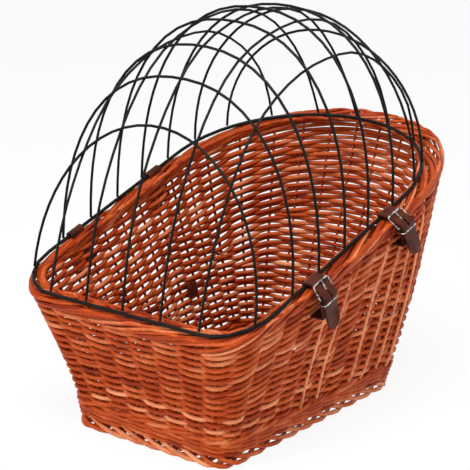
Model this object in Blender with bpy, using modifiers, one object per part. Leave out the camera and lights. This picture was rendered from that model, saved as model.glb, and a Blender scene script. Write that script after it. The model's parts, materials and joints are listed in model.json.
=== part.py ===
# Wicker bicycle basket with a domed wire cage, in metres.
# x runs from the low front to the high back, z is up, and the basket stands on z = 0.
# Plan sizes are measured from the front edge of the cage ring.
import math

import bmesh
import bpy
import numpy as np
from mathutils import Matrix, Vector

# Driving sizes
clearance = 0.0003
wicker_clearance = 0.0004

floor_front = 0.036
floor_length = 0.308
floor_width = 0.204
floor_front_radius = 0.024
floor_back_radius = 0.020
foot_height = 0.0095
foot_width = 0.013
mat_lift = 0.0045
mat_thickness = 0.0045
waling_height = 0.021
waling_thickness = 0.0125
waling_bulge = 0.0015
wall_thickness = 0.0095
wall_front_hollow = 0.006
wall_back_belly = 0.006

ring_length = 0.416
ring_width = 0.307
ring_wire_radius = 0.0020
ring_height = 0.1630
ring_slope_deg = 16.9
ring_front_radius = 0.052
ring_back_length = 0.139
ring_front_droop = 0.0045
ring_back_droop = 0.0046
ring_straight_start = 0.066
ring_straight_end = 0.272
ring_points = 68

rim_front_reach = 0.006
rim_back_reach = 0.0315
near_rim_front_side_reach = 0.002
far_rim_front_side_reach = -0.001
near_rim_side_reach = 0.01575
far_rim_side_reach = 0.0025
rim_front_radius = 0.045
rim_back_length = 0.190
border_height = 0.016
border_bulge = 0.0025
border_foot_bulge = 0.0012
border_edge_drop = 0.004
border_front_inset = 0.014
border_corner_inset = 0.012
near_border_side_inset = 0.008
far_border_side_inset = 0.016
border_back_inset = 0.003
# How far the middle of the whole basket lies to the near side of the cage's middle.
basket_side_shift = 0.0088

dome_height = 0.4401
hoop_wire_radius = 0.0015
rail_wire_radius = 0.0014
rail_pitch = 0.0493
hoop_points = 30
rail_points = 26

strap_width = 0.020
strap_thickness = 0.002
strap_bend_radius = 0.0022
near_strap_exit_drop = 0.038
far_strap_exit_drop = 0.034
strap_flap_length = 0.003
strap_tail_length = 0.055
near_strap_side_gap = 0.002
far_strap_side_gap = 0.0075
strap_buckle_reaches = (0.009, 0.0095, 0.004, 0.004)
buckle_length = 0.0165
buckle_wire_radius = 0.0010
buckle_side_gap = 0.0012
buckle_corner_radius = 0.0022
tongue_wire_radius = 0.0008
tongue_overhang = 0.0018
tongue_slot_gap = 0.0005
keeper_wire_radius = 0.0008
keeper_side_gap = 0.0005
keeper_drop = 0.0065

tab_width = 0.0175
tab_height = 0.0165
tab_thickness = 0.002
tab_corner_radius = 0.006
tab_centre_x = 0.252
tab_centre_height = 0.094
tab_seat_gap = 0.0004
tab_level_step = 0.002

# How far each strap leans toward the high end for each unit that it hangs down.
strap_lean_shares = (0.03, 0.26, 0.0, 0.0)
# Where the eight hoops stand and how high they reach, as shares of the ring's length
# and of the dome's height.
hoop_foot_shares = (0.0647, 0.190, 0.298, 0.405, 0.5055, 0.617, 0.729, 0.826)
hoop_top_shares = (0.136, 0.218, 0.300, 0.419, 0.532, 0.643, 0.724, 0.829)
hoop_height_shares = (0.7756, 0.8755, 0.9392, 0.9825, 1.0, 0.992, 0.971, 0.9036)
hoop_power_shares = (2.0, 2.25, 2.25, 2.3, 2.25, 2.2, 2.0, 2.0)
# How far a rail has come forward of its straight run, halfway up the front and back.
rail_front_shares = (0.29, 0.332, 0.378)
rail_back_shares = (0.605, 0.64, 0.71)
rail_half_height_share = 0.5
# Stations along each run of the wall's outline, from the front round to the back.
wall_runs = (3, 6, 9, 8, 4)
side_swell_power = 3
near_rim_back_power = 2.4
far_rim_back_power = 1.9
rim_corner_turns = (math.radians(75), math.radians(38))
# The belly grows toward the back by this power, and its peak lies low on the wall.
belly_power = 2
belly_low_share = 1.0
weave_levels = (0.0, 0.25, 0.5, 0.75, 1.0)
# Rim border section, from its inner edge across the top to its outer edge.
border_top_shares = (0.14, 0.5, 0.86)
border_middle_share = 0.5

ring_slope = math.radians(ring_slope_deg)
half_ring = ring_width / 2
ring_rise = math.tan(ring_slope)
ring_lift = (ring_wire_radius + clearance) / math.cos(ring_slope)
rim_back_centre = ring_length + rim_back_reach - rim_back_length
origin_x = (ring_length + rim_back_reach - rim_front_reach) / 2
origin_y = -basket_side_shift
origin = Vector((origin_x, origin_y, 0.0))
half_leather = strap_thickness / 2
wrap_radius = ring_wire_radius + clearance + half_leather


def clear_scene():
    for item in list(bpy.data.objects):
        bpy.data.objects.remove(item, do_unlink=True)
    for group in list(bpy.data.collections):
        bpy.data.collections.remove(group)


def new_collection(name):
    group = bpy.data.collections.new(name)
    bpy.context.scene.collection.children.link(group)
    return group


def new_material(name, colour, roughness, metallic):
    mat = bpy.data.materials.new(name)
    mat.use_nodes = True
    shader = mat.node_tree.nodes["Principled BSDF"]
    shader.inputs["Base Color"].default_value = (*colour, 1.0)
    shader.inputs["Roughness"].default_value = roughness
    shader.inputs["Metallic"].default_value = metallic
    mat.diffuse_color = (*colour, 1.0)
    return mat


def add_mesh(name, bm, mat, group, smooth_angle=math.radians(40)):
    bmesh.ops.recalc_face_normals(bm, faces=bm.faces)
    closed = all(len(edge.link_faces) == 2 for edge in bm.edges)
    if closed and bm.calc_volume(signed=True) < 0:
        bmesh.ops.reverse_faces(bm, faces=bm.faces)
    mesh = bpy.data.meshes.new(name)
    bm.to_mesh(mesh)
    bm.free()
    mesh.shade_smooth()
    mesh.set_sharp_from_angle(angle=smooth_angle)
    if mat:
        mesh.materials.append(mat)
    item = bpy.data.objects.new(name, mesh)
    group.objects.link(item)
    return item


def tube(name, points, radius, closed, sides_step, mat, group):
    curve = bpy.data.curves.new(name, "CURVE")
    curve.dimensions = "3D"
    curve.bevel_depth = radius
    curve.bevel_resolution = sides_step
    curve.use_fill_caps = True
    spline = curve.splines.new("POLY")
    spline.points.add(len(points) - 1)
    for point, place in zip(spline.points, points):
        point.co = (*place, 1.0)
    spline.use_cyclic_u = closed
    spline.use_smooth = True
    curve.materials.append(mat)
    item = bpy.data.objects.new(name, curve)
    group.objects.link(item)
    return item


def cut(item, cutter):
    modifier = item.modifiers.new("Cut", "BOOLEAN")
    modifier.operation = "DIFFERENCE"
    modifier.object = cutter
    cutter.hide_render = True
    cutter.display_type = "WIRE"


# Curves through points

def even_points(line, count):
    line = np.array(line, float)
    steps = np.linalg.norm(np.diff(line, axis=0), axis=1)
    run = np.concatenate([[0.0], np.cumsum(steps)])
    marks = np.linspace(0.0, run[-1], count)
    return np.stack([np.interp(marks, run, line[:, i]) for i in range(line.shape[1])], -1)


def smooth_path(guides, count):
    # A natural cubic through the guides, by the distance between them.
    guides = np.array(guides, float)
    run = np.concatenate([[0.0], np.cumsum(np.linalg.norm(np.diff(guides, axis=0), axis=1))])
    size = len(guides)
    gaps = np.diff(run)
    left = np.eye(size)
    right = np.zeros_like(guides)
    for i in range(1, size - 1):
        left[i, i - 1] = gaps[i - 1]
        left[i, i] = 2 * (gaps[i - 1] + gaps[i])
        left[i, i + 1] = gaps[i]
        right[i] = 6 * ((guides[i + 1] - guides[i]) / gaps[i]
                        - (guides[i] - guides[i - 1]) / gaps[i - 1])
    bend = np.linalg.solve(left, right)
    found = []
    for mark in np.linspace(0.0, run[-1], count):
        i = min(int(np.searchsorted(run, mark, side="right")) - 1, size - 2)
        ahead = run[i + 1] - mark
        behind = mark - run[i]
        gap = gaps[i]
        found.append(bend[i] * ahead ** 3 / (6 * gap) + bend[i + 1] * behind ** 3 / (6 * gap)
                     + (guides[i] / gap - bend[i] * gap / 6) * ahead
                     + (guides[i + 1] / gap - bend[i + 1] * gap / 6) * behind)
    return np.array(found)


# The cage ring and the rim it lies on

def ring_z(x):
    height = ring_height + ring_rise * x
    if x < ring_straight_start:
        height -= ring_front_droop * ((ring_straight_start - x) / ring_straight_start) ** 2
    if x > ring_straight_end:
        back_run = ring_length - ring_straight_end
        height -= ring_back_droop * ((x - ring_straight_end) / back_run) ** 2
    return height


def half_outline(front, front_half, side_half, side_end, radius, back_length, power, marks):
    # One half of a plan, split into runs at the marks: front edge, front corner, side,
    # back corner, back edge.
    corner = [(front + radius - radius * math.cos(turn),
               front_half - radius + radius * math.sin(turn))
              for turn in np.linspace(0.0, math.pi / 2, 13)]
    start = corner[0][1]
    edge = [(front, start * share) for share in np.linspace(0.0, 1.0, 5)]

    def back(turn):
        return (side_end + back_length * abs(math.cos(turn)) ** (2 / power),
                side_half * abs(math.sin(turn)) ** (2 / power))

    # The long side swells quickly from the front corner and then runs nearly straight.
    side = [(corner[-1][0] + (side_end - corner[-1][0]) * share,
             side_half - (side_half - front_half) * (1 - share) ** side_swell_power)
            for share in np.linspace(0.0, 1.0, 13)]
    side += [back(turn) for turn in np.linspace(math.pi / 2, marks[0], 9)[1:]]
    bend = [back(turn) for turn in np.linspace(marks[0], marks[1], 13)]
    last = [back(turn) for turn in np.linspace(marks[1], 0.0, 13)]
    return [edge, corner, side, bend, last]


def resample(runs):
    points = []
    for line, count in zip(runs, wall_runs):
        points += [tuple(point) for point in even_points(line, count + 1)[:-1]]
    points.append(tuple(runs[-1][-1]))
    return points


def whole(far, near):
    # Both halves of a plan as one loop that starts at the front centre.
    return far + [(x, -y) for x, y in reversed(near[1:-1])]


def floor_runs():
    half = floor_width / 2
    back = floor_front + floor_length
    radius = floor_front_radius
    corner = [(floor_front + radius - radius * math.cos(turn), half - radius + radius * math.sin(turn))
              for turn in np.linspace(0.0, math.pi / 2, 13)]
    radius = floor_back_radius
    bend = [(back - radius + radius * math.sin(turn), half - radius + radius * math.cos(turn))
            for turn in np.linspace(0.0, math.pi / 2, 13)]
    return [[(floor_front, 0.0), corner[0]], corner, [corner[-1], bend[0]], bend,
            [bend[-1], (back, 0.0)]]


def inset(loop, distance):
    loop = np.array(loop, float)
    ahead = np.roll(loop, -1, axis=0) - np.roll(loop, 1, axis=0)
    ahead /= np.linalg.norm(ahead, axis=1)[:, None]
    return loop + np.stack([ahead[:, 1], -ahead[:, 0]], -1) * distance


def rim_half(front_side_reach, side_reach, power):
    return resample(half_outline(
        -rim_front_reach, half_ring + front_side_reach, half_ring + side_reach, rim_back_centre,
        rim_front_radius, rim_back_length, power, rim_corner_turns))


floor_half = resample(floor_runs())
floor_loop = np.array(whole(floor_half, floor_half))
# The far long side lies under the ring, and the near one stands out beyond it.
rim_loop = np.array(whole(
    rim_half(far_rim_front_side_reach, far_rim_side_reach, far_rim_back_power),
    rim_half(near_rim_front_side_reach, near_rim_side_reach, near_rim_back_power)))


def crossing(start, away, line):
    # Where a line square to the rim meets the border's inner edge.
    offset = line - start
    side = offset[:, 0] * away[1] - offset[:, 1] * away[0]
    best = None
    for i in range(len(line) - 1):
        if side[i] * side[i + 1] <= 0 and side[i] != side[i + 1]:
            spot = line[i] + (line[i + 1] - line[i]) * side[i] / (side[i] - side[i + 1])
            reach = (spot - start) @ away
            if reach > 0 and (best is None or reach < best[0]):
                best = (reach, spot)
    return best[1]


def inner_half(side_inset):
    runs = half_outline(
        border_front_inset, half_ring - border_corner_inset, half_ring - side_inset,
        ring_length - ring_back_length, ring_front_radius - border_corner_inset,
        ring_back_length - border_back_inset, 2.0, rim_corner_turns)
    return [point for run in runs for point in run]


def find_inner_loop():
    far = inner_half(far_border_side_inset)
    line = even_points(whole(far, inner_half(near_border_side_inset)) + [far[0]], 600)
    squares = inset(rim_loop, 1.0) - rim_loop
    return np.array([crossing(start, away, line) for start, away in zip(rim_loop, squares)])


inner_loop = find_inner_loop()
rim_top = np.array([ring_z(x) - ring_lift for x in rim_loop[:, 0]])
inner_top = np.array([ring_z(x) - ring_lift for x in inner_loop[:, 0]])
stations = len(floor_loop)


def wall_at(share):
    # The wall's outer line at a share of its height: hollow at the front, bellied at the back.
    across = rim_loop - floor_loop
    place = (floor_loop[:, 0] - floor_front) / floor_length
    belly = (wall_front_hollow + wall_back_belly) * place ** belly_power - wall_front_hollow
    belly = belly * 4 * share * (1 - share) * (1 + belly_low_share * (0.5 - share))
    away = across / np.linalg.norm(across, axis=1)[:, None]
    return floor_loop + across * share[:, None] + away * belly[:, None]


def wall_loop(drop=None, height=None):
    # The wall's outer line, either at a drop below the rim or at a height over the floor.
    if drop is not None:
        share = 1 - drop / rim_top
    else:
        share = height / rim_top
    return wall_at(share), rim_top * share


def with_height(plan, height):
    return np.column_stack([plan, np.broadcast_to(height, len(plan))])


def band(name, section, mat, group):
    # A closed ring of material: the loops of its section, joined round and round.
    bm = bmesh.new()
    rows = [[bm.verts.new(Vector(point) - origin) for point in loop]
            for loop in section]
    for low, high in zip(rows, rows[1:] + rows[:1]):
        for i in range(stations):
            j = (i + 1) % stations
            bm.faces.new((low[i], low[j], high[j], high[i]))
    bmesh.ops.triangulate(bm, faces=bm.faces)
    return add_mesh(name, bm, mat, group)


def border_section():
    across = rim_loop - inner_loop
    rise = rim_top - inner_top
    section = []
    middle_plan, middle_height = wall_loop(drop=border_height * border_middle_share)
    low_plan, low_height = wall_loop(drop=border_height)
    low_inner = inset(low_plan, wall_thickness)
    section.append(with_height(inset(low_plan, -border_foot_bulge), low_height))
    section.append(with_height(inset(middle_plan, -border_bulge), middle_height))
    section.append(with_height(rim_loop, rim_top - border_edge_drop))
    for share in reversed(border_top_shares):
        section.append(with_height(inner_loop + across * share, inner_top + rise * share))
    section.append(with_height(inner_loop, inner_top - border_edge_drop))
    middle_inner = (inner_loop + low_inner) / 2
    middle_inner_height = (inner_top - border_edge_drop + low_height) / 2
    section.append(with_height(middle_inner, middle_inner_height))
    section.append(with_height(low_inner, low_height))
    return section


def weave_section():
    section = []
    base = foot_height + waling_height + 2 * clearance
    low = base / rim_top
    high = 1 - (border_height + clearance) / rim_top
    shares = [low + (high - low) * level for level in weave_levels]
    for share in shares:
        section.append(with_height(wall_at(share), rim_top * share))
    for share in reversed(shares):
        section.append(with_height(inset(wall_at(share), wall_thickness), rim_top * share))
    return section


def waling_section():
    low = foot_height + clearance
    high = low + waling_height
    middle = (low + high) / 2
    outer = [wall_loop(height=level)[0] for level in (low, middle, high)]
    return [with_height(outer[0], low), with_height(inset(outer[1], -waling_bulge), middle),
            with_height(outer[2], high), with_height(inset(outer[2], waling_thickness), high),
            with_height(inset(outer[0], waling_thickness), low)]


def foot_section():
    top_plan, _ = wall_loop(height=foot_height)
    edge = foot_height / 4
    return [with_height(inset(floor_loop, edge), 0.0), with_height(floor_loop, edge),
            with_height(top_plan, foot_height),
            with_height(inset(top_plan, foot_width), foot_height),
            with_height(inset(floor_loop, foot_width), 0.0)]


def add_mat(mat, group):
    # The mat fills the foot border, so its edge leans as the border's inner face does.
    bm = bmesh.new()
    loops = []
    for level in (mat_lift, mat_lift + mat_thickness):
        plan, _ = wall_loop(height=level)
        plan = inset(plan, foot_width + clearance)
        loops.append([bm.verts.new(Vector((x, y, level)) - origin) for x, y in plan])
    bm.faces.new(loops[0])
    bm.faces.new(loops[1])
    for i in range(stations):
        j = (i + 1) % stations
        bm.faces.new((loops[0][i], loops[0][j], loops[1][j], loops[1][i]))
    return add_mesh("floor_mat", bm, mat, group)


# The wire cage

def ring_half():
    corner = [(ring_front_radius - ring_front_radius * math.cos(turn),
               half_ring - ring_front_radius + ring_front_radius * math.sin(turn))
              for turn in np.linspace(0.0, math.pi / 2, 25)]
    centre = ring_length - ring_back_length
    back = [(centre + ring_back_length * math.sin(turn), half_ring * math.cos(turn))
            for turn in np.linspace(0.0, math.pi / 2, 49)]
    return [(0.0, 0.0)] + corner + back


def ring_half_width(x):
    points = ring_half()[1:]
    return float(np.interp(x, [p[0] for p in points], [p[1] for p in points]))


def ring_path():
    half = ring_half()
    loop = half + [(x, -y) for x, y in reversed(half[1:-1])] + [half[0]]
    plan = even_points(loop, ring_points + 1)[:-1]
    return [(x, y, ring_z(x)) for x, y in plan]


def ring_back_x(y):
    centre = ring_length - ring_back_length
    return centre + ring_back_length * math.sqrt(1 - (y / half_ring) ** 2)


def hoop_foot(number):
    x = ring_length * hoop_foot_shares[number]
    lift = ring_wire_radius + clearance + hoop_wire_radius * ring_rise
    return x, ring_half_width(x), ring_z(x) + lift / math.cos(ring_slope)


def hoop_point(number, share):
    # share is the place across the hoop: -1 at the far foot, 0 at the top, 1 at the near one.
    x, half, z = hoop_foot(number)
    power = hoop_power_shares[number]
    top_x = ring_length * hoop_top_shares[number]
    top_z = dome_height * hoop_height_shares[number]
    rise = max(0.0, 1 - abs(share) ** power) ** (1 / power)
    return np.array([x + (top_x - x) * rise, half * share, z + (top_z - z) * rise])


def hoop_path(number):
    power = hoop_power_shares[number]
    fine = []
    for turn in np.linspace(0.0, math.pi, 181):
        share = math.copysign(abs(math.cos(turn)) ** (2 / power), math.cos(turn))
        fine.append(hoop_point(number, share))
    return even_points(fine, hoop_points)


def rail_path(place):
    # The rails run under the hoops, just clear of them.
    y = rail_pitch * place
    row = abs(place)
    feet = [0.0, ring_back_x(y)]
    under = hoop_wire_radius + rail_wire_radius + clearance
    crossings = []
    across = []
    for number in range(len(hoop_foot_shares)):
        half = hoop_foot(number)[1]
        here = hoop_point(number, y / half)
        step = half * 0.01
        beside = hoop_point(number, (y + step) / half) - hoop_point(number, (y - step) / half)
        crossings.append(here)
        across.append(beside / np.linalg.norm(beside))
    lift = (ring_wire_radius + clearance + rail_wire_radius * ring_rise) / math.cos(ring_slope)
    front = np.array([feet[0], y, ring_z(feet[0]) + lift])
    back = np.array([feet[1], y, ring_z(feet[1]) + lift])
    line = [front] + crossings + [back]
    for _ in range(2):
        lowered = []
        for i, here in enumerate(crossings):
            along = line[i + 2] - line[i]
            side = np.cross(along, across[i])
            side /= np.linalg.norm(side)
            if side[2] > 0:
                side = -side
            lowered.append(here + side * under)
        first = lowered[0]
        last = lowered[-1]
        rise = rail_half_height_share
        front_guide = np.array([front[0] + (first[0] - front[0]) * rail_front_shares[row], y,
                                front[2] + (first[2] - front[2]) * rise])
        back_guide = np.array([last[0] + (back[0] - last[0]) * rail_back_shares[row], y,
                               last[2] + (back[2] - last[2]) * rise])
        line = [front] + lowered + [back]
    return smooth_path([front, front_guide] + lowered + [back_guide, back], rail_points)


def add_cage(mat, group):
    def placed(points):
        return [Vector(point) - origin for point in points]

    hinge = bpy.data.objects.new("cage_hinge", None)
    hinge.location = Vector((hinge_x, half_ring, ring_z(hinge_x))) - origin
    group.objects.link(hinge)
    ring = tube("cage_ring", placed(ring_path()), ring_wire_radius, True, 2, mat, group)
    wires = [ring]
    for number in range(len(hoop_foot_shares)):
        wires.append(tube(f"hoop_{number + 1}", placed(hoop_path(number)), hoop_wire_radius,
                          False, 2, mat, group))
    for place in (-2, -1, 0, 1, 2):
        wires.append(tube(f"rail_{place + 3}", placed(rail_path(place)), rail_wire_radius,
                          False, 2, mat, group))
    for wire in wires:
        wire.parent = hinge
        wire.matrix_parent_inverse = Matrix.Translation(hinge.location).inverted()
    return ring


# The buckled leather straps. Each is drawn in a section square to the ring: out is away
# from the basket and up is square to the ring, both from the ring's centre line.

def one_side(loop, side):
    # The long side's points of a loop, with y measured outward.
    if side > 0:
        half = loop[:stations // 2 + 1]
    else:
        half = np.vstack([loop[:1], loop[:stations // 2 - 1:-1]])
        half[:, 1] *= -1
    return half[wall_runs[0] + wall_runs[1] - 2:-wall_runs[4]]


def exit_drop(side):
    return near_strap_exit_drop if side < 0 else far_strap_exit_drop


def rim_chain(x, side):
    # The rim and wall seen along the ring: top, outer edge, bulge and foot of the border,
    # and the wall beside the strap's exit. It starts under the ring's middle.
    section = border_section()
    line = []
    order = (4, 3, 2, 1, 0)
    loops = [section[i] for i in order]
    low_plan, low_height = wall_loop(drop=exit_drop(side))
    loops.append(with_height(low_plan, low_height))
    for loop in loops:
        half = one_side(loop, side)
        places = np.linspace(x - strap_width, x + strap_width, 5)
        y = np.interp(places, half[:, 0], half[:, 1])
        z = np.interp(places, half[:, 0], half[:, 2])
        level = ring_height + ring_rise * places
        line.append(np.array([float(y.max()) - half_ring,
                              float((z - level).max()) * math.cos(ring_slope)]))
    if line[1][0] < 0.0:
        line.pop(0)
    here, there = line[0], line[1]
    line[0] = here - (there - here) * here[0] / (there[0] - here[0])
    return line


def offset_chain(chain, distance):
    found = []
    for i, (here, there) in enumerate(zip(chain, chain[1:])):
        along = (there - here) / np.linalg.norm(there - here)
        away = np.array([-along[1], along[0]])
        if found:
            before = chain[i] - chain[i - 1]
            start = math.atan2(*(np.array([-before[1], before[0]])[::-1]))
            end = math.atan2(away[1], away[0])
            if end < start:
                for turn in np.linspace(start, end, 7)[1:-1]:
                    found.append(here + distance * np.array([math.cos(turn), math.sin(turn)]))
        found.append(here + away * distance)
        found.append(there + away * distance)
    return found


def along_chain(chain, distance):
    for here, there in zip(chain, chain[1:]):
        size = np.linalg.norm(there - here)
        if distance <= size:
            return here + (there - here) * distance / max(size, 1e-9)
        distance -= size
    return chain[-1]


def chord_point(chain, start, length):
    fine = even_points(chain, 600)
    seen = False
    for here, there in zip(fine, fine[1:]):
        near = np.linalg.norm(here - start)
        far = np.linalg.norm(there - start)
        if far < buckle_length / 4:
            seen = True
        if seen and near <= length <= far:
            return there
    return fine[-1]


def arc(centre, radius, start, end, count):
    return [np.array([centre[0] + radius * math.cos(turn), centre[1] + radius * math.sin(turn)])
            for turn in np.linspace(start, end, count)]


def fillet(before, corner, after, radius, count=5):
    first = (before - corner) / np.linalg.norm(before - corner)
    second = (after - corner) / np.linalg.norm(after - corner)
    turn = math.acos(max(-1.0, min(1.0, float(first @ second))))
    reach = radius / math.tan(turn / 2)
    start = corner + first * reach
    end = corner + second * reach
    centre = corner + (first + second) / np.linalg.norm(first + second) * radius / math.sin(turn / 2)
    found = []
    for share in np.linspace(0.0, 1.0, count):
        spot = start + (end - start) * share - centre
        found.append(centre + spot / np.linalg.norm(spot) * radius)
    return found


def drawn_tight(start, end, around):
    along = (end - start) / np.linalg.norm(end - start)
    away = np.array([-along[1], along[0]])
    best = max(around, key=lambda point: float((point - start) @ away))
    ahead = float((best - start) @ along)
    if float((best - start) @ away) < clearance / 10 or not 0 < ahead < float((end - start) @ along):
        return []
    return drawn_tight(start, best, around) + [best] + drawn_tight(best, end, around)


def strap_layout(x, side, reach):
    chain = rim_chain(x, side)
    seat = buckle_wire_radius + clearance + strap_thickness + wicker_clearance
    line = offset_chain(chain, seat)
    top = along_chain(line, reach)
    bar = chord_point(line, top, buckle_length)
    down = (bar - top) / np.linalg.norm(bar - top)
    out = np.array([-down[1], down[0]])
    need = half_leather + wicker_clearance
    high = max(float((point - top) @ out) for point in chain
               if 0.0 < float((point - top) @ down) < buckle_length)
    push = max(0.0, high + need)
    top = top + out * push
    bar = bar + out * push
    fold = buckle_wire_radius + clearance + half_leather
    back_out = bar[0] - fold
    keeper_up = bar[1] - keeper_drop
    beside = [point[0] for point in even_points(chain, 200) if keeper_up <= point[1] <= bar[1]]
    back_out = max([back_out] + [out_place + clearance + half_leather for out_place in beside])
    near_keeper = [point[0] for point in even_points(chain, 400)
                   if abs(point[1] - keeper_up) < 3 * keeper_wire_radius]
    keeper_room = half_leather + 2 * clearance + 2 * keeper_wire_radius
    back_out = max([back_out] + [out_place + keeper_room for out_place in near_keeper])
    return {"chain": chain, "top": top, "bar": bar, "down": down, "out": out, "fold": fold,
            "back": back_out, "keeper": keeper_up, "exit": -exit_drop(side),
            "foot": min(-wrap_radius, chain[-1][0] - wall_thickness / 2),
            "tip": top[1] - strap_tail_length}


def strap_paths(plan):
    top = plan["top"]
    bar = plan["bar"]
    fold = plan["fold"]
    layers = strap_thickness + clearance
    flap = [bar + np.array([fold, -strap_flap_length])]
    path = flap + arc(bar, fold, 0.0, math.pi, 9)
    foot = plan["foot"]
    bend = min(strap_bend_radius, (plan["back"] - foot) / 2)
    if plan["back"] - (bar[0] - fold) > clearance:
        path.append(np.array([plan["back"], bar[1] - fold]))
    first = arc((plan["back"] - bend, plan["exit"] + bend), bend, 0.0, -math.pi / 2, 5)
    second = arc((foot + bend, plan["exit"] + bend), bend, -math.pi / 2, -math.pi, 5)
    if first[-1][0] - second[0][0] < clearance:
        second = second[1:]
    beside_ring = np.array([-wrap_radius, -wrap_radius])
    path += first + second + [beside_ring]
    inner = first[1:] + second + [beside_ring, np.array([-wrap_radius, ring_wire_radius])]
    under = top - plan["out"] * fold
    # From the slot the strap is drawn tight over the ring and the rim's edge, to pass
    # under the buckle's top bar.
    around = arc((0.0, 0.0), wrap_radius, math.pi, 0.0, 19)
    around += offset_chain(plan["chain"], half_leather + wicker_clearance)
    path += [around[0]] + drawn_tight(around[0], under, around) + [under]
    over = fold + layers
    gap = under - bar
    reach = np.linalg.norm(gap)
    land = math.atan2(gap[1], gap[0]) - math.acos(min(1.0, over / reach))
    path += arc(bar, over, land, 0.0, 4)
    outer = plan["back"] + layers
    path.append(np.array([bar[0] + over, bar[1] - strap_flap_length - half_leather]))
    path.append(np.array([outer, plan["keeper"] + 2 * keeper_wire_radius]))
    path.append(np.array([outer, plan["keeper"] - 2 * keeper_wire_radius]))
    return path, inner, outer


def ribbon(name, path, widths, lean, thickness, side, mat, group):
    bm = bmesh.new()
    rows = []
    for (out, up), width in zip(path, widths):
        left = bm.verts.new((drift(up, lean) - width / 2, side * out, up))
        right = bm.verts.new((drift(up, lean) + width / 2, side * out, up))
        rows.append((left, right))
    for (a, b), (c, d) in zip(rows, rows[1:]):
        bm.faces.new((a, b, d, c))
    item = add_mesh(name, bm, mat, group)
    shell = item.modifiers.new("Thickness", "SOLIDIFY")
    shell.thickness = thickness
    shell.offset = 0.0
    shell.use_even_offset = True
    return item


def drift(up, lean):
    return lean * (wrap_radius - up)


def stand(item, x, side):
    item.location = Vector((x, side * half_ring, ring_height + ring_rise * x)) - origin
    item.rotation_euler = (0.0, -ring_slope, 0.0)


def wire_loop(half, low, high, radius):
    # A rounded rectangle in two directions: along the bars, and from low to high.
    corners = [np.array([-half, low]), np.array([half, low]), np.array([half, high]),
               np.array([-half, high])]
    found = []
    for i, corner in enumerate(corners):
        found += fillet(corners[i - 1], corner, corners[(i + 1) % 4], radius, 3)
    return found


def add_closure(letter, x, side, reach, lean, leather, metal, group, cutters):
    plan = strap_layout(x, side, reach)
    path, inner, outer = strap_paths(plan)
    widths = [strap_width] * len(path)
    tail_radius = strap_width / 2
    for turn in np.linspace(math.pi / 2, math.radians(14), 6):
        path.append(np.array([outer, plan["tip"] + tail_radius - tail_radius * math.cos(turn)]))
        widths.append(strap_width * math.sin(turn))
    strap = ribbon(f"strap_{letter}", path, widths, lean, strap_thickness, side, leather, group)
    stand(strap, x, side)
    wide = strap_width + 2 * wicker_clearance
    deep = strap_thickness + 2 * wicker_clearance
    slot = ribbon(f"slot_{letter}", inner, [wide] * len(inner), lean, deep, side, None, cutters)
    stand(slot, x, side)

    bar = plan["bar"]
    top = plan["top"]
    down = plan["down"]
    out = plan["out"]

    def frame_point(along, drop, lift):
        spot = bar + down * drop + out * lift
        return (along + drift(spot[1], lean), side * spot[0], spot[1])

    half = strap_width / 2 + buckle_side_gap + buckle_wire_radius
    frame = [frame_point(a, d, 0.0) for a, d in wire_loop(
        half, -buckle_length, 0.0, buckle_corner_radius)]
    buckle = tube(f"buckle_{letter}", frame, buckle_wire_radius, True, 1, metal, group)
    stand(buckle, x, side)

    hook = buckle_wire_radius + clearance + tongue_wire_radius
    shank = [(-buckle_length - tongue_overhang, hook), (-buckle_length / 2, hook)]
    shank += [(hook * math.sin(turn), hook * math.cos(turn))
              for turn in np.linspace(0.0, math.radians(230), 9)]
    tongue = tube(f"tongue_{letter}", [frame_point(0.0, d, o) for d, o in shank],
                  tongue_wire_radius, False, 1, metal, group)
    # The tongue turns about the bar, so its origin is on the bar's centre line.
    pivot = bpy.data.objects.new(f"tongue_hinge_{letter}", None)
    group.objects.link(pivot)
    stand(pivot, x, side)
    centre = Vector((drift(bar[1], lean), side * bar[0], bar[1]))
    pivot.location = pivot.location + pivot.rotation_euler.to_matrix() @ centre
    for point in tongue.data.splines[0].points:
        point.co = (*(point.co.xyz - centre), 1.0)
    tongue.parent = pivot

    # The slot for the hook in the fold, and the hole for the tongue in the free run.
    slot_half = tongue_wire_radius + tongue_slot_gap
    bm = bmesh.new()
    bmesh.ops.create_cone(bm, cap_ends=True, segments=20, radius1=hook + slot_half,
                          radius2=hook + slot_half, depth=2 * slot_half)
    turn = Matrix.Rotation(math.pi / 2, 4, "Y")
    bmesh.ops.transform(bm, matrix=Matrix.Translation(centre) @ turn, verts=bm.verts)
    hook_slot = add_mesh(f"hook_slot_{letter}", bm, None, cutters)
    stand(hook_slot, x, side)
    cut(strap, hook_slot)
    bm = bmesh.new()
    bmesh.ops.create_cube(bm, size=1.0)
    ends = (0.0, -buckle_length - tongue_overhang - slot_half)
    for vert in bm.verts:
        drop = ends[0] if vert.co.y > 0 else ends[1]
        lift = hook + (slot_half if vert.co.z > 0 else -slot_half)
        vert.co = frame_point(slot_half * (1 if vert.co.x > 0 else -1), drop, lift)
    hole = add_mesh(f"tongue_hole_{letter}", bm, None, cutters)
    stand(hole, x, side)
    cut(strap, hole)

    back = plan["back"] - half_leather - clearance - keeper_wire_radius
    front = outer + half_leather + clearance + keeper_wire_radius
    half = strap_width / 2 + keeper_side_gap + keeper_wire_radius
    loop = [(a + drift(plan["keeper"], lean), side * o, plan["keeper"]) for a, o in wire_loop(
        half, back, front, 2 * keeper_wire_radius)]
    keeper = tube(f"keeper_{letter}", loop, keeper_wire_radius, True, 1, metal, group)
    stand(keeper, x, side)
    return slot


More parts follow.
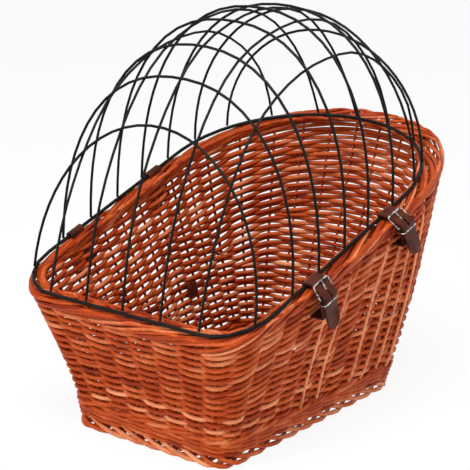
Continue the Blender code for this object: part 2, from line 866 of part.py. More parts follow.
def add_tab(mat, group):
    # A flat leather tab lying on the inner face of the far long wall.
    heights = (tab_centre_height - tab_level_step, tab_centre_height + tab_level_step)
    spots = []
    for height in heights:
        plan, level = wall_loop(height=height)
        face = inset(plan, wall_thickness)[:stations // 2 + 1]
        face = face[wall_runs[0] + wall_runs[1]:-wall_runs[4]]
        out = float(np.interp(tab_centre_x, face[:, 0], face[:, 1]))
        spots.append(Vector((tab_centre_x, out, height)) - origin)
        ends = [float(np.interp(tab_centre_x + step, face[:, 0], face[:, 1]))
                for step in (-tab_width / 2, tab_width / 2)]
    up = (spots[1] - spots[0]).normalized()
    along = Vector((tab_width, ends[1] - ends[0], 0.0)).normalized()
    inward = along.cross(up).normalized()
    if inward.y > 0:
        inward = -inward
    centre = (spots[0] + spots[1]) / 2
    corners = [np.array([-tab_width / 2, -tab_height / 2]), np.array([tab_width / 2, -tab_height / 2]),
               np.array([tab_width / 2, tab_height / 2]), np.array([-tab_width / 2, tab_height / 2])]
    outline = []
    for i, corner in enumerate(corners):
        outline += fillet(corners[i - 1], corner, corners[(i + 1) % 4], tab_corner_radius, 4)
    curve = bpy.data.curves.new("inner_tab", "CURVE")
    curve.dimensions = "2D"
    curve.fill_mode = "BOTH"
    curve.extrude = tab_thickness / 2
    spline = curve.splines.new("POLY")
    spline.points.add(len(outline) - 1)
    for point, (a, b) in zip(spline.points, outline):
        point.co = (a, b, 0.0, 1.0)
    spline.use_cyclic_u = True
    curve.materials.append(mat)
    item = bpy.data.objects.new("inner_tab", curve)
    group.objects.link(item)
    side = up.cross(along).normalized() if up.cross(along).y < 0 else along.cross(up).normalized()
    turn = Matrix((along, side.cross(along).normalized(), side)).transposed()
    place = centre + inward * (tab_thickness / 2 + clearance + tab_seat_gap)
    item.matrix_world = Matrix.Translation(place) @ turn.to_4x4()
    return item


hinge_x = (ring_straight_start + ring_straight_end) / 2
strap_half_run = strap_width / 2 + hoop_wire_radius
near_x = [ring_length * hoop_foot_shares[number] - (strap_half_run + near_strap_side_gap)
          for number in (2, 5)]
far_x = [ring_length * hoop_foot_shares[number] + (strap_half_run + far_strap_side_gap)
         for number in (1, 4)]


def main():
    clear_scene()
    basket = new_collection("dog_bicycle_basket")
    cutters = new_collection("cutters")
    willow = new_material("willow", (0.42, 0.13, 0.045), 0.45, 0.0)
    black = new_material("black_wire", (0.012, 0.012, 0.013), 0.35, 0.0)
    leather = new_material("brown_leather", (0.045, 0.016, 0.013), 0.5, 0.0)
    nickel = new_material("nickel", (0.72, 0.70, 0.67), 0.22, 1.0)

    add_mat(willow, basket)
    band("foot_border", foot_section(), willow, basket)
    band("lower_waling", waling_section(), willow, basket)
    weave = band("side_weave", weave_section(), willow, basket)
    border = band("top_border", border_section(), willow, basket)
    add_tab(leather, basket)
    add_cage(black, basket)
    closures = zip("abcd", near_x + far_x, (-1, -1, 1, 1), strap_buckle_reaches, strap_lean_shares)
    for letter, x, side, reach, lean in closures:
        slot = add_closure(letter, x, side, reach, lean, leather, nickel, basket, cutters)
        cut(border, slot)
        cut(weave, slot)


main()
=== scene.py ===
# Wicker bicycle basket for a small dog: woven rods, borders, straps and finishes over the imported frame.
# Metres, x from the low front to the high back, z up, the basket stands on z = 0.
import json
import math
import random

import bmesh
import bpy
from mathutils import Matrix, Vector


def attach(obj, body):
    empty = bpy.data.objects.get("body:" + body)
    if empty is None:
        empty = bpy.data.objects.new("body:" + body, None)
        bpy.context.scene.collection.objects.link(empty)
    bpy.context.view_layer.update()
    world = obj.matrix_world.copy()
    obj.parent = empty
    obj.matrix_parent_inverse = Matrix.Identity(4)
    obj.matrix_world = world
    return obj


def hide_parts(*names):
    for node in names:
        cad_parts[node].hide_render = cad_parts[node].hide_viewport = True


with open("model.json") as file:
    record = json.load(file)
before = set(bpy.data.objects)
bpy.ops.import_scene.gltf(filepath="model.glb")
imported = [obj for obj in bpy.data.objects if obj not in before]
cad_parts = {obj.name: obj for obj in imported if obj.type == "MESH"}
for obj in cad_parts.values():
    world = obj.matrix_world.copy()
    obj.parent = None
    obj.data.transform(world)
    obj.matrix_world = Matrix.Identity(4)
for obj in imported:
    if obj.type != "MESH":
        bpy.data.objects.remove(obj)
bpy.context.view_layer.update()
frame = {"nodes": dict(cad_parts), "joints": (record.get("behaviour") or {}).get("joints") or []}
nodes = frame["nodes"]
dice = random.Random(11)
print("frame loaded:", len(nodes), "nodes")


# The outline that every rod follows: a floor plan, a rim plan and a wall that bends a little between them.
# Values for the far side stand under 1, those for the near side under -1.

ringTilt = math.radians(16.9)

shape = {
    "originX": 0.22075, "originY": -0.0088,
    "floorFront": 0.036, "floorLength": 0.308, "floorHalf": 0.102,
    "floorFrontCorner": 0.024, "floorBackCorner": 0.020,
    "ringLength": 0.416, "ringHalf": 0.1535, "ringFrontRadius": 0.052, "ringBackLength": 0.139,
    "ringHeight": 0.1630, "ringRise": math.tan(ringTilt),
    "frontDroop": 0.0045, "backDroop": 0.0046, "straightStart": 0.066, "straightEnd": 0.272,
    "ringLift": 0.0023 / math.cos(ringTilt),
    "rimFront": -0.006, "rimFrontRadius": 0.045, "rimBackCentre": 0.2575, "rimBackLength": 0.190,
    "rimFrontHalf": {1: 0.1525, -1: 0.1555}, "rimSideHalf": {1: 0.156, -1: 0.16925},
    "rimBackPower": {1: 1.9, -1: 2.4}, "swellPower": 3,
    "cornerTurns": (math.radians(75), math.radians(38)),
    "innerFront": 0.014, "innerCorner": 0.012, "innerSide": {1: 0.016, -1: 0.008}, "innerBack": 0.003,
    "innerBackPower": 2.0,
    "frontHollow": 0.006, "backBelly": 0.006, "bellySkew": 1.5,
    "wallThickness": 0.0095, "stakes": 40, "firstStake": 0.38,
    "curvePoints": 13, "sidePoints": 9, "runCounts": (24, 48, 108, 72, 48), "stations": 1200,
    "squareStep": 2, "alongStep": 4, "leanStep": 0.02,
}


def ringZ(x):
    height = shape["ringHeight"] + shape["ringRise"] * x
    if x < shape["straightStart"]:
        height -= shape["frontDroop"] * ((shape["straightStart"] - x) / shape["straightStart"]) ** 2
    if x > shape["straightEnd"]:
        run = shape["ringLength"] - shape["straightEnd"]
        height -= shape["backDroop"] * ((x - shape["straightEnd"]) / run) ** 2
    return height


def spread(low, high, count):
    return [low + (high - low) * k / (count - 1) for k in range(count)]


def quarter(cx, cy, radius, start, end):
    return [Vector((cx + radius * math.cos(t), cy + radius * math.sin(t)))
            for t in spread(start, end, shape["curvePoints"])]


def halfOutline(front, frontHalf, sideHalf, sideEnd, radius, backLength, power):
    # Front edge, front corner, side, back corner and back edge of one half of a plan.
    count = shape["curvePoints"]
    corner = quarter(front + radius, frontHalf - radius, radius, math.pi, math.pi / 2)
    edge = [Vector((front, 0)), corner[0]]
    side = [Vector((corner[-1].x + (sideEnd - corner[-1].x) * s,
                    sideHalf - (sideHalf - frontHalf) * (1 - s) ** shape["swellPower"]))
            for s in spread(0, 1, count)]

    def back(t):
        return Vector((sideEnd + backLength * abs(math.cos(t)) ** (2 / power),
                       sideHalf * abs(math.sin(t)) ** (2 / power)))

    first, second = shape["cornerTurns"]
    side += [back(t) for t in spread(math.pi / 2, first, shape["sidePoints"])[1:]]
    return [edge, corner, side, [back(t) for t in spread(first, second, count)],
            [back(t) for t in spread(second, 0, count)]]


def floorOutline():
    half, front = shape["floorHalf"], shape["floorFront"]
    back = front + shape["floorLength"]
    radius = shape["floorFrontCorner"]
    corner = quarter(front + radius, half - radius, radius, math.pi, math.pi / 2)
    radius = shape["floorBackCorner"]
    bend = quarter(back - radius, half - radius, radius, math.pi / 2, 0)
    return [[Vector((front, 0)), corner[0]], corner, [corner[-1], bend[0]], bend,
            [bend[-1], Vector((back, 0))]]


def rimOutline(side):
    return halfOutline(shape["rimFront"], shape["rimFrontHalf"][side], shape["rimSideHalf"][side],
                       shape["rimBackCentre"], shape["rimFrontRadius"], shape["rimBackLength"],
                       shape["rimBackPower"][side])


def innerOutline(side):
    return halfOutline(shape["innerFront"], shape["ringHalf"] - shape["innerCorner"],
                       shape["ringHalf"] - shape["innerSide"][side],
                       shape["ringLength"] - shape["ringBackLength"],
                       shape["ringFrontRadius"] - shape["innerCorner"],
                       shape["ringBackLength"] - shape["innerBack"], shape["innerBackPower"])


def evenly(line, count):
    # The line cut into count equal steps.
    marks = [0.0]
    for here, there in zip(line, line[1:]):
        marks.append(marks[-1] + (there - here).length)
    found, i = [], 0
    for k in range(count + 1):
        mark = marks[-1] * k / count
        while i < len(marks) - 2 and marks[i + 1] < mark:
            i += 1
        gap = marks[i + 1] - marks[i]
        found.append(line[i].lerp(line[i + 1], (mark - marks[i]) / gap if gap else 0.0))
    return found


def loopOf(outline):
    # The far half from the front to the back, then the near half from the back to the front.
    halves = {}
    for side in (1, -1):
        runs = outline(side)
        half = []
        for line, count in zip(runs, shape["runCounts"]):
            half += evenly(line, count)[:-1]
        halves[side] = half + [runs[-1][-1]]
    return halves[1] + [Vector((p.x, -p.y)) for p in reversed(halves[-1][1:-1])]


floorLoop = loopOf(lambda side: floorOutline())
rimLoop = loopOf(rimOutline)
innerLine = loopOf(innerOutline)


def evenAround():
    # Stations spaced evenly along the wall at half height, each with its floor and rim point.
    count = len(floorLoop)
    middle = [floorLoop[i].lerp(rimLoop[i], 0.5) for i in range(count)]
    marks = [0.0]
    for i in range(count):
        marks.append(marks[-1] + (middle[(i + 1) % count] - middle[i]).length)
    found, i = [], 0
    for k in range(shape["stations"]):
        mark = marks[-1] * k / shape["stations"]
        while marks[i + 1] < mark:
            i += 1
        share = (mark - marks[i]) / (marks[i + 1] - marks[i])
        j = (i + 1) % count
        found.append((floorLoop[i].lerp(floorLoop[j], share), rimLoop[i].lerp(rimLoop[j], share)))
    return found


stations = evenAround()


def innerReach():
    # The border's inner edge, found on a line square to the rim.
    found = []
    step = shape["squareStep"]
    for i in range(shape["stations"]):
        here = stations[i][1]
        ahead = stations[(i + step) % shape["stations"]][1] - stations[i - step][1]
        away = Vector((ahead.y, -ahead.x)).normalized()
        best = None
        for p, q in zip(innerLine, innerLine[1:] + innerLine[:1]):
            sideP = (p - here).cross(away)
            sideQ = (q - here).cross(away)
            if sideP * sideQ <= 0 and sideP != sideQ:
                spot = p.lerp(q, sideP / (sideP - sideQ))
                reach = (spot - here).dot(away)
                if 0 < reach and (best is None or reach < best[0]):
                    best = (reach, spot)
        found.append(best[1])
    return found


innerPoints = innerReach()


def stationAt(q):
    # Floor point, rim point, inner point and the way round, at stake number q.
    count, step = shape["stations"], shape["alongStep"]
    place = ((q + shape["firstStake"]) / shape["stakes"]) % 1.0 * count
    i = int(place) % count
    j = (i + 1) % count
    share = place - int(place)
    low = stations[i][0].lerp(stations[j][0], share)
    edge = stations[i][1].lerp(stations[j][1], share)
    inner = innerPoints[i].lerp(innerPoints[j], share)
    ahead = stations[(j + step) % count]
    behind = stations[(i - step) % count]
    along = (ahead[0] + ahead[1] - behind[0] - behind[1]).normalized()
    return low, edge, inner, along


def rimTop(x):
    return ringZ(x) - shape["ringLift"]


def moved(x, y, z):
    return Vector((x - shape["originX"], y - shape["originY"], z))


def wallPlan(low, edge, share):
    # The wall is hollow at the front and bellied at the back, the most in its lower half.
    across = edge - low
    place = (low.x - shape["floorFront"]) / shape["floorLength"]
    belly = (shape["frontHollow"] + shape["backBelly"]) * place * place - shape["frontHollow"]
    belly *= 4 * share * (1 - share) * (shape["bellySkew"] - share)
    return low + across * share + across.normalized() * belly


def onWall(q, z, out):
    # A point at height z, out from the middle of the wall's thickness.
    low, edge, _, along = stationAt(q)
    top = rimTop(edge.x)
    step = shape["leanStep"]
    spot = wallPlan(low, edge, z / top)
    lean = (wallPlan(low, edge, z / top + step) - spot) / (step * top)
    up = Vector((lean.x, lean.y, 1.0))
    outward = up.cross(Vector((along.x, along.y, 0.0))).normalized()
    return moved(spot.x, spot.y, z) + outward * (out - shape["wallThickness"] / 2)


# Rods: every rod is a bevelled curve with its own tone, and a set of them becomes one mesh.

toneCount = 24


def linked(name, data):
    thing = bpy.data.objects.new(name, data)
    bpy.context.scene.collection.objects.link(thing)
    return thing


def finalMesh(thing):
    bpy.context.view_layer.update()
    return bpy.data.meshes.new_from_object(thing.evaluated_get(bpy.context.evaluated_depsgraph_get()))


def layRods(name, rods, roundness):
    curve = bpy.data.curves.new(name, "CURVE")
    curve.dimensions = "3D"
    curve.bevel_depth = 0.001  # a point's radius is then in millimetres
    curve.bevel_resolution = roundness
    curve.use_fill_caps = True
    tones = [bpy.data.materials.new("tone") for _ in range(toneCount)]
    for tone in tones:
        curve.materials.append(tone)
    for rod in rods:
        spline = curve.splines.new("POLY")
        spline.points.add(len(rod["points"]) - 1)
        for point, (place, radius) in zip(spline.points, rod["points"]):
            point.co = (*place, 1.0)
            point.radius = radius * 1000
        spline.use_smooth = True
        spline.material_index = min(toneCount - 1, max(0, int(rod["tone"] * toneCount)))
    draft = linked(name + "Draft", curve)
    mesh = finalMesh(draft)
    bpy.data.objects.remove(draft)
    bpy.data.curves.remove(curve)
    tint = mesh.attributes.new("tone", "FLOAT", "FACE")
    for face, value in zip(mesh.polygons, tint.data):
        value.value = (face.material_index + 0.5) / toneCount
        face.material_index = 0
    mesh.materials.clear()
    for tone in tones:
        bpy.data.materials.remove(tone)
    mesh.shade_smooth()
    piece = linked(name, mesh)
    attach(piece, "basket")
    print("rods laid:", name, len(rods), "rods,", len(mesh.polygons), "faces")
    return piece


# The side weave: pairs of rows, one in front of a stake where the other is behind it

weave = {
    "bottom": 0.0325, "borderShare": 0.76, "pitch": 0.0049, "frontPitch": 0.0039, "rodRadius": 0.0026,
    "swing": 0.0031, "lift": 0.0004, "flatness": 0.65, "steps": 6, "lowRows": 8, "highRows": 9,
    "insertOrder": (4, 1, 7, 3, 6, 0, 8, 2, 5), "rodSpan": (9, 15), "leastSpan": 4, "leastWeight": 0.04,
    "thickVary": (0.93, 1.07), "swingVary": (0.92, 1.08), "liftVary": (0.75, 1.2),
    "wobble": 0.00025, "wobbleStart": (0, 6.3), "wobbleTurn": (0.5, 0.9),
    "thinEnd": 0.45, "thinGain": 0.55, "thinRate": 1.4, "thinCross": 0.05,
    "bulkLeast": 0.8, "bulkGain": 0.2, "tone": (0.5, 0.17),
}


def borderHeight(q):
    # The border is lowest outside the far front corner.
    edge = stationAt(q)[1]
    corner = (edge - Vector((shape["rimFront"], shape["rimFrontHalf"][1]))).length
    return rim["height"] * (1 - rim["cornerThin"] * max(0.0, 1 - corner / rim["cornerReach"]))


def wallRoom(q):
    edge = stationAt(q)[1]
    return rimTop(edge.x) - borderHeight(q) * weave["borderShare"] - weave["bottom"]


def rowPlan():
    # Full rows stay full all round. Short rows come in pairs and fill the high end.
    rooms = [wallRoom(q) for q in range(shape["stakes"])]
    least, most = min(rooms), max(rooms)
    fewest = round(least / weave["frontPitch"])
    pairs = (round(most / weave["pitch"]) - fewest) // 2
    middle = fewest - weave["lowRows"] - weave["highRows"]
    turns = weave["insertOrder"]
    order = sorted(range(pairs), key=lambda k: turns[k % len(turns)] + k // len(turns) * 0.5)
    rows = [None] * weave["lowRows"]
    each = max(1, pairs // (middle + 1))
    placed = 0
    for pair in range(pairs):
        rows += [order.index(pair)] * 2
        if (pair + 1) % each == 0 and placed < middle:
            rows.append(None)
            placed += 1
    rows += [None] * (middle - placed + weave["highRows"])
    return rows, least, (most - least) / pairs


def rowWeights(rows, least, pairRoom, q):
    spare = (wallRoom(q) - least) / pairRoom
    return [1.0 if turn is None else min(1.0, max(0.0, spare - turn)) for turn in rows]


def rowColumns(rows, least, pairRoom, total):
    # Height, weight and bulk of every row, at each step round the wall.
    columns = []
    for k in range(total):
        q = k / weave["steps"]
        weights = rowWeights(rows, least, pairRoom, q)
        scale = wallRoom(q) / sum(weights)
        level, column = weave["bottom"], []
        bulk = weave["bulkLeast"] + weave["bulkGain"] * scale / weave["pitch"]
        for weight in weights:
            column.append((level + scale * weight / 2, weight, bulk))
            level += scale * weight
        columns.append(column)
    return columns


def rodEnds(length):
    # A row is made of rods of many stakes each.
    cuts, place = [0], 0
    while place < length:
        place += dice.randint(*weave["rodSpan"]) * weave["steps"]
        cuts.append(min(place, length))
    if len(cuts) > 2 and cuts[-1] - cuts[-2] < weave["leastSpan"] * weave["steps"]:
        cuts.pop(-2)
    return cuts


def weaveRods():
    rows, least, pairRoom = rowPlan()
    total = shape["stakes"] * weave["steps"]
    columns = rowColumns(rows, least, pairRoom, total)
    rods = []
    for row in range(len(rows)):
        live = [k for k in range(total) if columns[k][row][1] > weave["leastWeight"]]
        full = len(live) == total
        start = dice.randrange(total) if full else live[0]
        length = total if full else len(live)
        cuts = rodEnds(length)
        for first, last in zip(cuts, cuts[1:]):
            early = first - (1 if full or first > 0 else 0)
            late = last + (1 if full or last < length else 0)
            thick = weave["rodRadius"] * dice.uniform(*weave["thickVary"])
            swing = weave["swing"] * dice.uniform(*weave["swingVary"])
            lift = weave["lift"] * dice.uniform(*weave["liftVary"])
            drift = dice.uniform(*weave["wobbleStart"])
            turn = dice.uniform(*weave["wobbleTurn"])
            points = []
            for k in range(early, late):
                spot = (start + k) % total
                q = spot / weave["steps"]
                level, weight, bulk = columns[spot][row]
                side = math.cos(math.pi * (q + row))  # 1 outside a stake, -1 inside one
                level += weave["wobble"] * math.sin(q * turn + drift) + lift * side * min(1.0, weight)
                grown = weave["thinEnd"] + weave["thinGain"] * min(1.0, weight * weave["thinRate"])
                radius = thick * bulk * grown * (1.0 - weave["thinCross"] * side * side)
                out = math.copysign(swing * abs(side) ** weave["flatness"], side)
                points.append((onWall(q, level, out), radius))
            rods.append({"points": points, "tone": dice.gauss(*weave["tone"])})
    return rods


# The stakes inside the weave, in a dark tone that is painted shade in the gaps between rows, and thin pale
# ones pushed in later, lying over the rows on the near wall, whose pale tone also paints the highlight
# streaks along the stake lines.
# A late stake has the stake number above and below.

stake = {
    "radius": 0.0019, "taper": 0.0003, "low": 0.011, "drop": 0.008, "lean": 0.06, "steps": 8,
    # The stakes' dark tone is painted shade: it keeps the gaps between rows dark where a stake shows
    # through.
    "tone": (0.15, 0.45),
    "latePlaces": ((31.2, 30.9), (30.0, 30.05), (27.8, 27.95), (26.8, 27.0), (26.05, 26.05), (25.3, 25.2)),
    "lateOut": 0.0042, "lateRadius": 0.0019, "lateLow": 0.0150, "lateDrop": 0.0150, "lateSteps": 14,
    # The late stakes are pale rods, and their very pale tone is partly painted highlight, standing in for
    # the highlight streaks down the near wall.
    "lateTuck": 7, "lateBend": 0.05, "lateBendRate": 8, "lateTaper": (1.1, 0.25), "latePaleAndHighlightTone": (0.85, 0.98),
}


def lateStake(above, below):
    top = rimTop(stationAt(above)[1].x) - stake["lateDrop"]
    base, taper = stake["lateTaper"]
    points = []
    for k in range(stake["lateSteps"] + 1):
        share = k / stake["lateSteps"]
        end = min(1.0, stake["lateTuck"] * share, stake["lateTuck"] * (1 - share))
        bend = stake["lateBend"] * math.sin(stake["lateBendRate"] * share + above)
        q = below + (above - below) * share + bend
        z = stake["lateLow"] + (top - stake["lateLow"]) * share
        points.append((onWall(q, z, stake["lateOut"] * end), stake["lateRadius"] * (base - taper * share)))
    return points


def stakeRods():
    rods = []
    for i in range(shape["stakes"]):
        top = rimTop(stationAt(i)[1].x) - stake["drop"]
        lean = dice.uniform(-stake["lean"], stake["lean"])
        points = []
        for k in range(stake["steps"] + 1):
            share = k / stake["steps"]
            z = stake["low"] + (top - stake["low"]) * share
            points.append((onWall(i + lean * share, z, 0.0), stake["radius"] - stake["taper"] * share))
        rods.append({"points": points, "tone": dice.uniform(*stake["tone"])})
    for above, below in stake["latePlaces"]:
        rods.append({"points": lateStake(above, below), "tone": dice.uniform(*stake["latePaleAndHighlightTone"])})
    return rods


# The waling: rows of three strands that pass outside two stakes and inside one

waling = {
    "bottom": 0.0125, "pitch": 0.0050, "rows": 4, "strands": 3, "rodsRound": 3, "steps": 4,
    "rodRadius": 0.0024, "thickVary": (0.97, 1.03), "swing": 0.0028, "lean": 0.25, "out": 0.0006,
    "rise": 0.0012, "tone": (0.5, 0.13),
}


def walingRods():
    rods = []
    steps, strands = waling["steps"], waling["strands"]
    for row in range(waling["rows"]):
        level = waling["bottom"] + waling["pitch"] * (row + 0.5)
        hand = -1 if row == waling["rows"] - 1 else 1  # the top row twists the other way
        for strand in range(strands):
            cuts = sorted(dice.sample(range(shape["stakes"]), waling["rodsRound"]))
            for first, last in zip(cuts, cuts[1:] + [cuts[0] + shape["stakes"]]):
                points = []
                for k in range(first * steps - 1, last * steps + 2):
                    q = k / steps
                    turn = 2 * math.pi * (q + strand) / strands
                    out = waling["swing"] * (waling["lean"] + math.cos(turn)) + waling["out"]
                    z = level + hand * waling["rise"] * math.sin(turn)
                    thick = waling["rodRadius"] * dice.uniform(*waling["thickVary"])
                    points.append((onWall(q, z, out), thick))
                rods.append({"points": points, "tone": dice.gauss(*waling["tone"])})
    return rods


# The foot border: each rod leaves its stake, drops outside and runs on under the next stakes. A path
# point is stakes passed, out from the wall's middle, and height.

foot = {
    "reach": 2.9, "steps": 15, "radius": 0.0025, "shift": 0.1, "ease": 0.4, "tone": (0.74, 0.12),
    "cornerLoose": 0.0030, "cornerInset": 0.012, "cornerReach": 0.035, "cornerRun": 2,
    "path": ((0.0, 0.0000, 0.0145), (0.35, 0.0022, 0.0112), (0.8, 0.0040, 0.0078),
             (1.32, 0.0049, 0.0045), (1.78, 0.0047, 0.0029), (2.12, 0.0022, 0.0027),
             (2.45, -0.0018, 0.0034), (2.9, -0.0065, 0.0050)),
}


def footPath(step):
    path, ease = foot["path"], foot["ease"]
    for here, there in zip(path, path[1:]):
        if step <= there[0]:
            part = (step - here[0]) / (there[0] - here[0])
            part = part * part * (3 - 2 * part) * ease + part * (1 - ease)
            return [a + (b - a) * part for a, b in zip(here[1:], there[1:])]
    return list(path[-1][1:])


def footRods():
    rods = []
    for i in range(shape["stakes"]):
        points = []
        late = dice.uniform(-foot["shift"], foot["shift"])
        for k in range(foot["steps"] + 1):
            step = foot["reach"] * k / foot["steps"]
            out, z = footPath(step)
            q = i - step + late
            low = stationAt(q)[0]
            corner = Vector((low.x - shape["floorFront"] - foot["cornerInset"],
                             low.y + shape["floorHalf"] - foot["cornerInset"])).length
            loose = foot["cornerLoose"] * max(0.0, 1 - corner / foot["cornerReach"])
            out += loose * math.sin(math.pi * min(1.0, step / foot["cornerRun"]))
            points.append((onWall(q, z, out), foot["radius"]))
        rods.append({"points": points, "tone": dice.gauss(*foot["tone"])})
    return rods


# The rolled rim: rods turn over, cross the top and run down the outside over many stakes

rim = {
    "height": 0.0165, "cornerThin": 0.62, "cornerReach": 0.15, "bulge": 0.0022,
    "stops": (0.0, 0.32, 0.66, 1.0), "roundReach": 0.006, "roundPull": 0.16, "aheadStep": 0.2,
    "perStake": 2.5, "reach": 6.8, "steps": 5, "radius": 0.0021, "taper": (1.05, 0.25),
    "thickVary": (0.88, 1.12), "startVary": 0.2, "reachVary": (0.85, 1.05), "depthVary": (1.0, 1.5),
    "inset": 0.02, "run": 0.96, "pace": 0.9, "sway": 0.008, "swayRate": 9,
    # The rim's tone sits below the wall's: painted shade that dims the top-lit rim.
    "startTuck": 0.9, "endTuck": 0.5, "tone": (0.43, 0.17),
}


def onRim(q, v, sink):
    # v runs up the inner face, over the top and down the outer face.
    low, edge, inner, _ = stationAt(q)
    top = rimTop(edge.x)
    height = borderHeight(q)
    footOut = wallPlan(low, edge, 1 - height / top)
    ahead = stationAt(q + rim["aheadStep"])[1] - stationAt(q - rim["aheadStep"])[1]
    away = Vector((-ahead.y, ahead.x)).normalized()
    along = Vector((-away.y, away.x, 0.0))
    footIn = footOut - away * shape["wallThickness"]
    corners = [Vector((footIn.x, footIn.y, top - height)), Vector((inner.x, inner.y, rimTop(inner.x))),
               Vector((edge.x, edge.y, top)), Vector((footOut.x, footOut.y, top - height))]
    middle = (corners[0] + corners[1] + corners[2] + corners[3]) / 4
    stops = rim["stops"]
    i = next((k for k in range(2) if v <= stops[k + 1]), 2)
    part = (v - stops[i]) / (stops[i + 1] - stops[i])
    spot = corners[i].lerp(corners[i + 1], part)
    face = corners[i + 1] - corners[i]
    normal = (face - face.project(along)).cross(along).normalized()
    if normal.dot(spot - middle) < 0:
        normal = -normal
    puff = rim["bulge"] * math.sin(math.pi * min(1.0, max(0.0, part))) if i == 2 else 0.0
    spot = spot + normal * (puff - sink)
    # Rods round the corners of the section without a sharp edge.
    for corner in corners[1:3]:
        gap = (spot - corner).length
        if gap < rim["roundReach"]:
            spot = spot.lerp(middle, (rim["roundReach"] - gap) / rim["roundReach"] * rim["roundPull"])
    return moved(spot.x, spot.y, spot.z)


def smoothed(points):
    inside = [((before[0] + here[0] * 2 + after[0]) / 4, here[1])
              for before, here, after in zip(points, points[1:], points[2:])]
    return [points[0], *inside, points[-1]]


def rimRods():
    rods = []
    count = int(rim["reach"] * rim["steps"])
    base, taper = rim["taper"]
    for i in range(int(shape["stakes"] * rim["perStake"])):
        thick = rim["radius"] * dice.uniform(*rim["thickVary"])
        start = i / rim["perStake"] + dice.uniform(-rim["startVary"], rim["startVary"])
        reach = rim["reach"] * dice.uniform(*rim["reachVary"])
        deep = dice.uniform(*rim["depthVary"])
        points = []
        for k in range(count + 1):
            share = k / count
            sway = rim["sway"] * math.sin(rim["swayRate"] * share + i)
            v = rim["inset"] + rim["run"] * share ** rim["pace"] + sway
            # The first ninth and the last twelfth of a rod are tucked in.
            tuck = rim["startTuck"] * max(0.0, 1 - share * 9) + rim["endTuck"] * max(0.0, share * 12 - 11)
            spot = onRim(start + reach * share, v, thick * (deep + tuck))
            points.append((spot, thick * (base - taper * share)))
        rods.append({"points": smoothed(smoothed(points)), "tone": dice.gauss(*rim["tone"])})
    return rods


# The woven mat in the base

mat = {
    "z": 0.0078, "edge": 0.0060, "pitch": 0.0049, "rodRadius": 0.0022, "swing": 0.0014, "steps": 40,
    "cornerReach": 0.016, "cornerRound": 0.020, "tone": (0.4, 0.15),
    "ribs": 11, "ribRadius": 0.0024, "ribSteps": 6, "ribTone": 0.5,
}


def matRods():
    rods = []
    front = shape["floorFront"] + mat["edge"]
    back = shape["floorFront"] + shape["floorLength"] - mat["edge"]
    half = shape["floorHalf"] - mat["edge"]
    ribGap = (back - front) / (mat["ribs"] + 1)
    for row in range(int(2 * half / mat["pitch"])):
        y = -half + mat["pitch"] * (row + 0.5)
        corner = max(0.0, abs(y) - half + mat["cornerReach"])
        trim = corner * corner / mat["cornerRound"]
        points = []
        for k in range(mat["steps"] + 1):
            x = front + trim + (back - front - 2 * trim) * k / mat["steps"]
            wave = math.cos(math.pi * ((x - front) / ribGap + row))
            points.append((moved(x, y, mat["z"] + mat["swing"] * wave), mat["rodRadius"]))
        rods.append({"points": points, "tone": dice.gauss(*mat["tone"])})
    for rib in range(mat["ribs"]):
        x = front + ribGap * (rib + 1)
        points = [(moved(x, -half + 2 * half * k / mat["ribSteps"], mat["z"]), mat["ribRadius"])
                  for k in range(mat["ribSteps"] + 1)]
        rods.append({"points": points, "tone": mat["ribTone"]})
    return rods


# Finishes: a roughness pair is its least and what the cloud adds, a bump pair is strength and distance


def newMaterial(name):
    material = bpy.data.materials.new(name)
    material.use_nodes = True
    return material, material.node_tree, material.node_tree.nodes["Principled BSDF"]


def addNode(tree, kind, **values):
    node = tree.nodes.new(kind)
    for key, value in values.items():
        if key in node.inputs:
            node.inputs[key].default_value = value
        else:
            setattr(node, key, value)
    return node


def objectCoords(tree):
    return addNode(tree, "ShaderNodeTexCoord").outputs["Object"]


def addNoise(tree, coords, scale, detail=3.0):
    noise = addNode(tree, "ShaderNodeTexNoise", Scale=scale, Detail=detail)
    tree.links.new(coords, noise.inputs["Vector"])
    return noise.outputs["Fac"]


def addRamp(tree, source, stops):
    ramp = addNode(tree, "ShaderNodeValToRGB")
    band = ramp.color_ramp.elements
    while len(band) < len(stops):
        band.new(0.5)
    for element, (place, colour) in zip(band, stops):
        element.position = place
        element.color = (*colour, 1.0)
    tree.links.new(source, ramp.inputs["Fac"])
    return ramp.outputs["Color"]


def addMath(tree, kind, first, second):
    node = addNode(tree, "ShaderNodeMath", operation=kind)
    for socket, value in zip(node.inputs, (first, second)):
        if isinstance(value, (int, float)):
            socket.default_value = value
        else:
            tree.links.new(value, socket)
    return node.outputs["Value"]


def setRoughness(tree, shader, cloud, pair):
    rough = addMath(tree, "ADD", pair[0], addMath(tree, "MULTIPLY", cloud, pair[1]))
    tree.links.new(rough, shader.inputs["Roughness"])


def setBump(tree, shader, height, pair):
    bump = addNode(tree, "ShaderNodeBump", Strength=pair[0], Distance=pair[1])
    tree.links.new(height, bump.inputs["Height"])
    tree.links.new(bump.outputs["Normal"], shader.inputs["Normal"])


willow = {
    "tones": ((0.0, (0.160, 0.014, 0.0015)), (0.3, (0.280, 0.029, 0.003)), (0.6, (0.425, 0.065, 0.009)),
              (1.0, (0.700, 0.270, 0.125))),
    "patches": 38.0, "patchShare": 0.75, "streaks": 420.0, "streakShare": 0.35,
    "roughness": (0.30, 0.16), "specular": 0.11, "grain": 900.0, "bump": (0.25, 0.0004),
}


